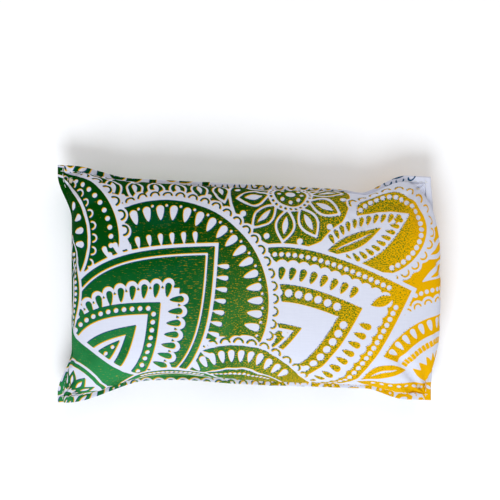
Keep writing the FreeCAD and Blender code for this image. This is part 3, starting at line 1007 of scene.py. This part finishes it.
def seed_mix(colours):
    """Glossy brown seeds as cells, a few of them pale violet flowers, with painted shade in the gaps between
    them.
    """
    f = Finish("seed_mix", Specular_IOR_Level=0.5)
    place = f.stretched(f.object_place(), (1.0, 0.55, 1.0))
    cells, tint = (f.node("ShaderNodeTexVoronoi", None, {"Vector": place, "Scale": 420.0}, out=i)
                   for i in (0, 1))
    pick = f.node("ShaderNodeSeparateColor", None, {0: tint})
    seeds = f.mix(pick, colour(colours.seed), colour(colours.seed_pale))
    mixed = f.mix(pick.between(0.93, 0.95), seeds, colour(colours.lavender))
    # the cells' edges turn near black: painted shade in the hollows between the seeds
    f.feed(Base_Color=f.mix(cells.between(0.5, 0.8), mixed, colour(colours.gap)), Roughness=0.30 + cells * 0.4)
    f.bump(1.0 - cells, 0.0008, 0.8)
    return f.material


def pale_paper(colours):
    """The floor: very pale paper with the faintest tooth."""
    f = Finish("pale_floor", Roughness=0.95, Specular_IOR_Level=0.0)
    tooth = f.noise(f.object_place(), 400.0, 3.0)
    f.feed(Base_Color=f.mix(tooth, colour(colours.floor), colour(colours.floor_tooth)))
    return f.material


# Each finish is made once, from the colours that a user can change, and shared.
COVER_WEAVE, CALICO_WEAVE = 0.00042, 0.0006
FINISHES = {
    "printed_cotton": printed_cotton,
    "cover_thread": lambda c: sewing_thread("cover_thread", c.thread, c.thread_groove_shade),
    # the bag thread's painted groove shade takes the calico's fleck colour
    "bag_thread": lambda c: sewing_thread("bag_thread", c.calico, c.calico_fleck_and_groove_shade),
    "calico": lambda c: plain_cloth("calico", c.calico, c.calico_fleck_and_groove_shade, CALICO_WEAVE),
    "seed_mix": seed_mix,
    "pale_floor": pale_paper,
}


def material_for(name, colours):
    if name not in kept:
        kept[name] = FINISHES[name](colours)
    return kept[name]


# ------------------------------------------------------------------ what a user can change

def size_field(name, description, default, low, high, **kind):
    return bpy.props.FloatProperty(name=name, description=description, default=default, min=low, max=high,
                                   **kind)


def count_field(name, description, default, low, high):
    return bpy.props.IntProperty(name=name, description=description, default=default, min=low, max=high)


def colour_field(name, description, default):
    return bpy.props.FloatVectorProperty(name=name, description=description, default=default, subtype="COLOR",
                                         size=3, min=0.0, max=1.0)


class EyePillowSizes(bpy.types.PropertyGroup):
    """How fine the mesh is, how the cloth is blown up, and the sizes of its sewing."""
    cells_long: count_field("Cells along", "Mesh cells along the filled cover", 384, 40, 600)
    cells_wide: count_field("Cells across", "Mesh cells across the filled cover", 236, 30, 400)
    pressure: size_field("Pressure", "Air pressure that stands in for the fill's push", 3.0, 0.0, 100.0)
    looseness: size_field("Looseness", "How much larger the cloth is cut than the form, as a share",
                          0.014, 0.0, 0.2)
    cloth_limit: size_field("Cloth limit", "The furthest that the simulation may move the cloth, in mm",
                            2.2, 0.0, 100.0)
    hem: size_field("Hem", "Width of the back panels' folded hems", 0.008, 0.003, 0.02, unit="LENGTH")
    stitch: size_field("Stitch", "Length of a stitch that shows", 0.0024, 0.001, 0.004, unit="LENGTH")


class EyePillowColours(bpy.types.PropertyGroup):
    """Colours of the print, the threads and the fill."""
    ground: colour_field("Ground", "Bare cloth", (0.665, 0.685, 0.785))
    ground_thread: colour_field("Ground thread", "Thicker threads of the bare cloth", (0.63, 0.65, 0.75))
    green: colour_field("Green", "Both inks together", (0.0, 0.078, 0.010))
    # painted shade: the darker green along the upper side, which turns away from the key light
    painted_shade_green: colour_field("Dark green", "Both inks where they are thickest", (0.0, 0.048, 0.001))
    olive: colour_field("Olive", "The yellow ink under thin blue", (0.050, 0.150, 0.006))
    teal: colour_field("Teal", "Both inks where the blue is stronger", (0.0, 0.088, 0.036))
    # a painted sheen: the paler green along the lower side, which faces the key light
    painted_sheen_green: colour_field("Washed green", "Both inks where the print is thin", (0.022, 0.215, 0.060))
    gold: colour_field("Gold", "The yellow ink", (0.82, 0.44, 0.0))
    gold_deep: colour_field("Deep gold", "The yellow ink where it is thick", (0.72, 0.37, 0.0))
    blue: colour_field("Blue", "The blue ink alone", (0.0, 0.060, 0.145))
    thread: colour_field("Thread", "The cover's sewing thread", (0.80, 0.80, 0.78))
    # painted shade in the grooves between the cover thread's strands
    thread_groove_shade: colour_field("Thread grooves", "Between the thread's strands", (0.55, 0.55, 0.54))
    calico: colour_field("Calico", "The inner bag", (0.74, 0.68, 0.56))
    # real husk flecks in the calico, and also the bag thread's painted shade between its strands
    calico_fleck_and_groove_shade: colour_field("Calico flecks", "Husk flecks in the calico", (0.55, 0.46, 0.33))
    seed: colour_field("Seed", "Flax seed", (0.20, 0.085, 0.03))
    seed_pale: colour_field("Pale seed", "Paler flax seed", (0.34, 0.17, 0.07))
    lavender: colour_field("Lavender", "Dried flowers in the fill", (0.25, 0.20, 0.36))
    # painted shade in the hollows between the seeds
    gap: colour_field("Gaps", "Between the seeds", (0.02, 0.012, 0.008))
    floor: colour_field("Floor", "The table's paper", (0.97, 0.97, 0.97))
    floor_tooth: colour_field("Floor tooth", "The raised grain of the table's paper", (0.985, 0.985, 0.985))


# ------------------------------------------------------------------ operators

# Places outside the seam, in mm, at which the flange has a row of points, and where its edge turns down.
FLANGE = 3.0
FLANGE_RIMS = (0.15, 0.5, 1.0, 1.8, 2.7, 3.5)
LIP_RIM, LIP_DROP = 3.6, 0.8
FLANGE_LIFT, FLANGE_WAVE = 0.25, 0.5
# The back panels: how high the lowest cloth lies, where the hems end, how far the left one lies above the
# right one, and how far along and across the printed cloth each was cut out.
RESTS_AT = 0.2
HEM_EDGE, HEM_FOLD = 25.0, 0.35
OVERLAP_LIFT = 0.55
RIGHT_CUT, LEFT_CUT = (-6, 5), (9, -7)
# The stitches: pitch, how far outside the seam the topstitch runs and how far past a corner it goes on, and
# the rows' heights from the seam's level.
STITCH_PITCH = 3.2
TOPSTITCH_OUT, TOPSTITCH_REACH = 0.45, 2.4
TOPSTITCH_UP, TOPSTITCH_DOWN = 0.62, -1.15
HEM_STITCH_X, HEM_STITCH_SINK = 17.4, 0.02
EDGE_THREAD, HEM_THREAD, BAG_THREAD = 0.3, 0.26, 0.25
# How far inside the cover's own cloth the bag and the fill lie, along X, Y and Z.
BAG_TOP_IN, BAG_UNDER_IN, FILL_IN = (3.4, 3.4, 1.3), (3.4, 3.4, 1.9), (5.2, 5.2, 2.6)
INSIDE_RESTS_AT = 0.3


def settings(context):
    """The sizes and the colours that a user can change."""
    return context.scene.eye_pillow_sizes, context.scene.eye_pillow_colours


class PillowOperator:
    """What every operator here shares."""
    bl_options = {"REGISTER", "UNDO"}


def flange_waves(points, u, v):
    """Slow waves in the flange, FLANGE_WAVE mm high at its outer edge."""
    out = np.maximum((np.abs(u)[None, :] - 1) * LONG, (np.abs(v)[:, None] - 1) * WIDE).clip(0, 4) / FLANGE
    x, y = points[..., 0], points[..., 1]
    points[..., 2] += FLANGE_WAVE * out * (np.sin(x / 7.3 + 0.4) * 0.6 + np.sin(y / 6.1 + x / 15) * 0.6)
    return points


class OBJECT_OT_pillow_front(PillowOperator, bpy.types.Operator):
    """Makes the printed front panel with its flange"""
    bl_idname = "object.pillow_front"
    bl_label = "Front panel"

    def execute(self, context):
        sizes, colours = settings(context)
        rims = FLANGE_RIMS + (LIP_RIM,)
        u, v, qu, qv = face_shares(sizes.cells_long, sizes.cells_wide, rims)
        points, cloth = front_form(u, v, qu, qv)
        shares = even_shares(sizes.cells_long, rims), even_shares(sizes.cells_wide, rims)
        points += spread(swelling(sizes)[0], *shares)
        out = np.maximum((np.abs(u)[None, :] - 1) * LONG, (np.abs(v)[:, None] - 1) * WIDE)
        points[..., 2] += FLANGE_LIFT * np.clip(out / 0.8, 0, 1)
        points = flange_waves(points, u, v)
        points[..., 2] -= np.where(out > LIP_RIM - 0.05, LIP_DROP, 0.0)
        piece = surface("cover_front", points)
        print_on(piece, cloth)
        finish_piece(piece, "printed_cotton", material_for("printed_cotton", colours), "cover_front_panel")
        return {"FINISHED"}


class OBJECT_OT_pillow_back(PillowOperator, bpy.types.Operator):
    """Makes the two overlapping back panels with their folded hems"""
    bl_idname = "object.pillow_back"
    bl_label = "Back panels"

    def execute(self, context):
        back_panel(context, "cover_back_right", 1, 0.0, RIGHT_CUT, "cover_back_panel_right")
        back_panel(context, "cover_back_left", -1, OVERLAP_LIFT, LEFT_CUT, "cover_back_panel_left")
        return {"FINISHED"}


def back_columns(side, cells):
    """u, its section share and its arc share from a back panel's fold to its own end's flange, side 1 being
    the right panel, whose fold lies left of the middle."""
    arc_shares = np.linspace(-1, 1, 4001)
    all_u = side_profile(LONG, CROWN, LONG_POWER, arc_shares)[0]
    fold = (-side * HEM_EDGE - seam_plan(0.0, 0.0)[0]) / LONG
    su = np.linspace(np.interp(fold, all_u, arc_shares), side, cells)
    u, qu = side_profile(LONG, CROWN, LONG_POWER, su)
    out = side * (1 + np.asarray(FLANGE_RIMS) / LONG)
    return (np.concatenate([u, out]), np.concatenate([qu, 0 * out]),
            np.concatenate([su, np.full(len(out), side * PAST_SEAM)]))


def with_hem(points, cloth, side, hem):
    """Adds the folded hem to a panel's grid: a half turn at its first column, then an inner ply as wide as
    the hem."""
    bend = np.linspace(0, np.pi, 7)[1:]
    turned = np.repeat(points[:, :1], len(bend), axis=1)
    turned[..., 0] -= side * HEM_FOLD * np.sin(bend)
    turned[..., 2] += HEM_FOLD * (1 - np.cos(bend))
    inner = np.repeat(turned[:, -1:], 6, axis=1)
    inner[..., 0] += side * np.linspace(1.2, hem, 6)
    points = np.concatenate([inner[:, ::-1], turned[:, ::-1], points], axis=1)
    added = points.shape[1] - cloth.shape[1]
    extra = np.repeat(cloth[:, :1], added, axis=1)
    extra[..., 0] -= side * np.linspace(hem + 1, 0.2, added)
    return points, np.concatenate([extra, cloth], axis=1)


def back_panel(context, name, side, lift, cut, node):
    """One back panel. side is 1 for the right one, lift how far it lies above the other one, inside the
    cover, and cut where on the printed cloth it was cut out."""
    sizes, colours = settings(context)
    rows = int(sizes.cells_wide * 0.5)
    u, qu, su = back_columns(side, int(sizes.cells_long * 0.34))
    v, qv = grid_shares(rows, WIDE, CROWN, WIDE_POWER, FLANGE_RIMS)
    points, cloth = back_form(u, v, qu, qv)
    move = spread(swelling(sizes)[1], su, even_shares(rows, FLANGE_RIMS))
    points += move * ease(points[..., 2], 1.0, 5.0)[..., None]
    points[..., 2] = np.maximum(points[..., 2], RESTS_AT)
    points = flange_waves(points, u, v)
    points[..., 2] += lift * ease(points[..., 0], -32, -26)
    points, cloth = with_hem(points, cloth, side, sizes.hem / MM)
    piece = surface(name, points, flip=side > 0)
    print_on(piece, cloth * (1, -1) + cut)
    finish_piece(piece, "printed_cotton", material_for("printed_cotton", colours), node)


def stitch_row(path, up, sizes, thick):
    """Stitches along a path of points: each is a flattened round bar whose ends dip into the cloth, its
    middle standing thick * (sin(pi * t) - 0.35) out of it. path and up are (n, 3)."""
    run = np.concatenate([[0], np.cumsum(np.linalg.norm(np.diff(path, axis=0), axis=1))])
    count = max(2, int(round(run[-1] / STITCH_PITCH)))
    mids = (np.arange(count) + 0.5) * run[-1] / count
    t = np.linspace(0, 1, 7)
    at = mids[:, None] + (t - 0.5)[None, :] * sizes.stitch / MM
    place, out = (np.stack([np.interp(at, run, line[:, i]) for i in range(3)], axis=-1) for line in (path, up))
    out /= np.linalg.norm(out, axis=-1, keepdims=True)
    head = np.gradient(place, axis=1)
    head /= np.maximum(np.linalg.norm(head, axis=-1, keepdims=True), 1e-9)
    across = np.cross(out, head)
    place = place + out * (thick * (np.sin(np.pi * t) - 0.35))[None, :, None]
    a = np.linspace(0, 2 * np.pi, 7)[:6]
    r = thick / 2 * np.array([0.02, 0.8, 1, 1, 1, 0.8, 0.02])
    ring = (np.cos(a)[:, None, None] * across[:, None] * 1.15 + np.sin(a)[:, None, None] * out[:, None])
    return place[:, None] + ring * r[None, None, :, None]


def topstitch_paths(z, count=400):
    """The four straight runs of the topstitch at height z, each going past the corner nearly to the flange's
    edge."""
    s = np.linspace(-1, 1, count)
    along_u, along_v = s * (1 + TOPSTITCH_REACH / LONG), s * (1 + TOPSTITCH_REACH / WIDE)
    line_u, line_v = np.full(count, 1 + TOPSTITCH_OUT / LONG), np.full(count, 1 + TOPSTITCH_OUT / WIDE)
    plans = [seam_plan(u, v) for u, v in ((along_u, line_v), (along_u, -line_v), (line_u, along_v),
                                          (-line_u, along_v))]
    return [np.column_stack([plan, np.full(count, z)]) for plan in plans]


def upright(count, way=1.0):
    """The same direction, up or with -1 down, for each of a path's points."""
    return np.tile([0.0, 0.0, way], (count, 1))


class OBJECT_OT_pillow_edge_stitches(PillowOperator, bpy.types.Operator):
    """Makes the topstitching round the cover, on the front and on the underside"""
    bl_idname = "object.pillow_edge_stitches"
    bl_label = "Edge topstitch"

    def execute(self, context):
        sizes, colours = settings(context)
        for name, z, way, node in (("topstitch_front", SEAM_Z + TOPSTITCH_UP, 1.0, "edge_topstitch_front"),
                                   ("topstitch_back", SEAM_Z + TOPSTITCH_DOWN, -1.0, "edge_topstitch_back")):
            rows = [stitch_row(path, upright(len(path), way), sizes, EDGE_THREAD)
                    for path in topstitch_paths(z)]
            piece = surface(name, np.concatenate(rows), loop=True)
            finish_piece(piece, "cover_thread", material_for("cover_thread", colours), node)
        return {"FINISHED"}


class OBJECT_OT_pillow_hem_stitches(PillowOperator, bpy.types.Operator):
    """Makes the two rows of hem stitches on the back panels"""
    bl_idname = "object.pillow_hem_stitches"
    bl_label = "Hem stitches"

    def execute(self, context):
        sizes, colours = settings(context)
        v, qv = side_profile(WIDE, CROWN, WIDE_POWER, np.linspace(-0.97, 0.97, 400))
        for side, x, lift in (("right", -HEM_STITCH_X, 0.0), ("left", HEM_STITCH_X, OVERLAP_LIFT)):
            u = np.array([(x - seam_plan(0.0, 0.0)[0]) / LONG])
            path = back_form(u, v, np.sqrt(1 - np.abs(u) ** LONG_POWER), qv)[0][:, 0]
            path[:, 2] = np.maximum(path[:, 2], RESTS_AT) + lift - HEM_STITCH_SINK
            head = np.gradient(path, axis=0)
            up = np.column_stack([0 * head[:, 0], head[:, 2], -head[:, 1]])
            up /= np.linalg.norm(up, axis=1, keepdims=True)
            piece = surface("hem_stitches_" + side, stitch_row(path, up, sizes, HEM_THREAD), loop=True)
            finish_piece(piece, "cover_thread", material_for("cover_thread", colours),
                         "back_hem_stitches_" + side)
        return {"FINISHED"}


def shrunk(points, by):
    """Points drawn towards the pillow's middle by a fixed distance along each axis, for a layer inside the
    cover."""
    centre = np.array([0.0, 0.0, SEAM_Z - 0.4])
    away = points - centre
    return centre + away * (1 - np.array(by) / np.maximum(np.abs(away).max(axis=(0, 1)), 1e-9))


def inner_faces(cols, rows, top_in, under_in, moves=0.0):
    """The top and the underside of a layer inside the cover: the cover's own faces drawn in."""
    shares = face_shares(cols, rows)
    under = back_form(*shares)[0]
    under[..., 2] = np.maximum(under[..., 2], INSIDE_RESTS_AT)
    return shrunk(front_form(*shares)[0] + moves, top_in), shrunk(under, under_in)


class OBJECT_OT_pillow_inner_bag(PillowOperator, bpy.types.Operator):
    """Makes the plain inner bag, its seam and its closing stitches"""
    bl_idname = "object.pillow_inner_bag"
    bl_label = "Inner bag"

    def execute(self, context):
        sizes, colours = settings(context)
        cols, rows = 120, 72
        moves = spread(swelling(sizes)[0], even_shares(cols), even_shares(rows))
        top, under = inner_faces(cols, rows, BAG_TOP_IN, BAG_UNDER_IN, moves)
        calico, thread = material_for("calico", colours), material_for("bag_thread", colours)
        piece = finish_piece(surface("inner_bag_top", top), "calico", calico, "inner_bag_front")
        piece = surface("inner_bag_underside", under, flip=True)
        finish_piece(piece, "calico", calico, "inner_bag_back")
        made = [stitch_row(line + [0, 0, 0.1], upright(len(line)), sizes, BAG_THREAD)
                for line in (top[0], top[-1], top[:, 0], top[:, -1])]
        finish_piece(surface("inner_bag_seam", np.concatenate(made), loop=True), "bag_thread", thread,
                     "inner_bag_seam_stitches")
        low, high = (np.array(corner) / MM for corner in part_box("inner_bag_closing_stitches"))
        share = np.linspace(0, 1, 60)[:, None]
        line = low * (1 - share) + high * share
        finish_piece(surface("inner_bag_closing", stitch_row(line, upright(60), sizes, BAG_THREAD), loop=True),
                     "bag_thread", thread, "inner_bag_closing_stitches")
        return {"FINISHED"}


class OBJECT_OT_pillow_fill(PillowOperator, bpy.types.Operator):
    """Makes the seed fill as one closed heap"""
    bl_idname = "object.pillow_fill"
    bl_label = "Seed fill"

    def execute(self, context):
        colours = settings(context)[1]
        top, under = inner_faces(110, 66, FILL_IN, FILL_IN)
        rim = rim_of(top)
        under[rim] = top[rim]
        piece = surface("seed_heap", np.stack([top, under[:, ::-1]]))
        finish_piece(piece, "seed_mix", material_for("seed_mix", colours), "seed_fill")
        weld = piece.modifiers.new("weld", "WELD")
        weld.merge_threshold = 0.00001
        return {"FINISHED"}


# The lights' names, places, sizes in metres, powers in watts and tints.
LIGHTS = (("key", (-0.15, -0.9, 0.95), 0.7, 13.0, (0.90, 0.94, 1.0)),
          ("back_light", (0.2, 0.95, 0.9), 1.0, 4.0, (1.0, 0.90, 0.82)))
SKY_TINT, SKY_STRENGTH = (0.95, 0.97, 1.0), 0.55
FLOOR_HALF = 2500
# The camera looks straight down at a picture VIEW_WIDTH metres wide.
VIEW_WIDTH, VIEW_MIDDLE, VIEW_LEVEL = 0.2945, (0.0006, 0.0203), 0.022
LENS, FILM = 105, 36


class OBJECT_OT_pillow_stage(PillowOperator, bpy.types.Operator):
    """Sets the pale floor, the soft lights and the camera straight above"""
    bl_idname = "object.pillow_stage"
    bl_label = "Stage"

    def execute(self, context):
        colours = settings(context)[1]
        scene = context.scene
        scene.view_settings.view_transform = "Standard"
        s = np.linspace(-FLOOR_HALF, FLOOR_HALF, 3)
        grid = np.broadcast_arrays(s[None, :], s[:, None], np.zeros((3, 3)))
        floor = surface("floor", np.stack(grid, axis=-1))
        floor.data.materials.append(material_for("pale_floor", colours))
        world = bpy.data.worlds.new("studio")
        world.use_nodes = True
        sky = world.node_tree.nodes["Background"].inputs
        sky["Color"].default_value = colour(SKY_TINT)
        sky["Strength"].default_value = SKY_STRENGTH
        scene.world = world
        for name, place, size, power, tint in LIGHTS:
            lamp = bpy.data.lights.new(name, "AREA")
            lamp.shape, lamp.size, lamp.energy, lamp.color = "DISK", size, power, tint
            holder = bpy.data.objects.new(name, lamp)
            holder.location = place
            aim = -np.array(place) / np.linalg.norm(place)
            holder.rotation_euler = (np.arccos(-aim[2]), 0, np.arctan2(aim[1], aim[0]) - np.pi / 2)
            scene.collection.objects.link(holder)
        lens = bpy.data.cameras.new("camera")
        lens.sensor_width = FILM
        lens.lens = LENS
        eye = bpy.data.objects.new("camera", lens)
        eye.location = VIEW_MIDDLE + (VIEW_LEVEL + VIEW_WIDTH * LENS / FILM,)
        scene.collection.objects.link(eye)
        scene.camera = eye
        return {"FINISHED"}


STEPS = (OBJECT_OT_pillow_stage, OBJECT_OT_pillow_front, OBJECT_OT_pillow_back, OBJECT_OT_pillow_edge_stitches,
         OBJECT_OT_pillow_hem_stitches, OBJECT_OT_pillow_inner_bag, OBJECT_OT_pillow_fill)


class VIEW3D_PT_eye_pillow(bpy.types.Panel):
    """Lists the pieces in the order they are made, then the sizes and the colours"""
    bl_label = "Eye pillow"
    bl_idname = "VIEW3D_PT_eye_pillow"
    bl_space_type = "VIEW_3D"
    bl_region_type = "UI"
    bl_category = "Eye pillow"

    def draw(self, context):
        for step in STEPS:
            self.layout.operator(step.bl_idname)
        for group in settings(context):
            for name in group.bl_rna.properties.keys():
                if name not in {"rna_type", "name"}:
                    self.layout.prop(group, name)


CLASSES = (EyePillowSizes, EyePillowColours) + STEPS + (VIEW3D_PT_eye_pillow,)


def register():
    for made in CLASSES:
        bpy.utils.register_class(made)
    bpy.types.Scene.eye_pillow_sizes = bpy.props.PointerProperty(type=EyePillowSizes)
    bpy.types.Scene.eye_pillow_colours = bpy.props.PointerProperty(type=EyePillowColours)


def unregister():
    del bpy.types.Scene.eye_pillow_sizes, bpy.types.Scene.eye_pillow_colours
    for made in reversed(CLASSES):
        bpy.utils.unregister_class(made)


def main():
    register()
    for step in STEPS:
        group, name = step.bl_idname.split(".")
        getattr(getattr(bpy.ops, group), name)()


if __name__ == "__main__":
    main()
